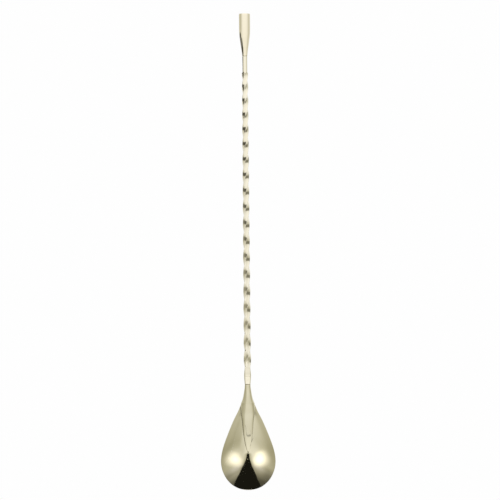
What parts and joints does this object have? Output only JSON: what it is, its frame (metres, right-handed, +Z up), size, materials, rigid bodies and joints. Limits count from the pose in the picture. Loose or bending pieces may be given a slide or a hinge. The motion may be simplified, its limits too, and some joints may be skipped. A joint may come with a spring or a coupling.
{
  "type": "bar spoon",
  "caption": "Long stirring spoon with a teardrop bowl, a raised strip down the bowl's back, a right-hand twisted shaft and a turned muddling weight on top.",
  "frame": {"origin": "centre of the flat muddling face on top of the end weight", "axes": "+Z up along the shaft, away from the bowl; the bowl opens towards +Y and its convex back faces -Y; +X to the right seen from the back"},
  "size_m": [0.0346, 0.0109, 0.3],
  "materials": {
    "champagne_bowl": "polished",
    "champagne_neck": "polished",
    "champagne_shaft": "polished",
    "champagne_weight": "polished",
    "braze_filler": "satin"
  },
  "bodies": {
    "root": {"bowl_dish": "champagne_bowl", "rat_tail_neck": "champagne_neck", "tail_braze_film": "braze_filler", "twisted_shaft": "champagne_shaft", "neck_braze_ring": "braze_filler", "end_weight": "champagne_weight", "weight_braze_ring": "braze_filler"}
  },
  "joints": []
}
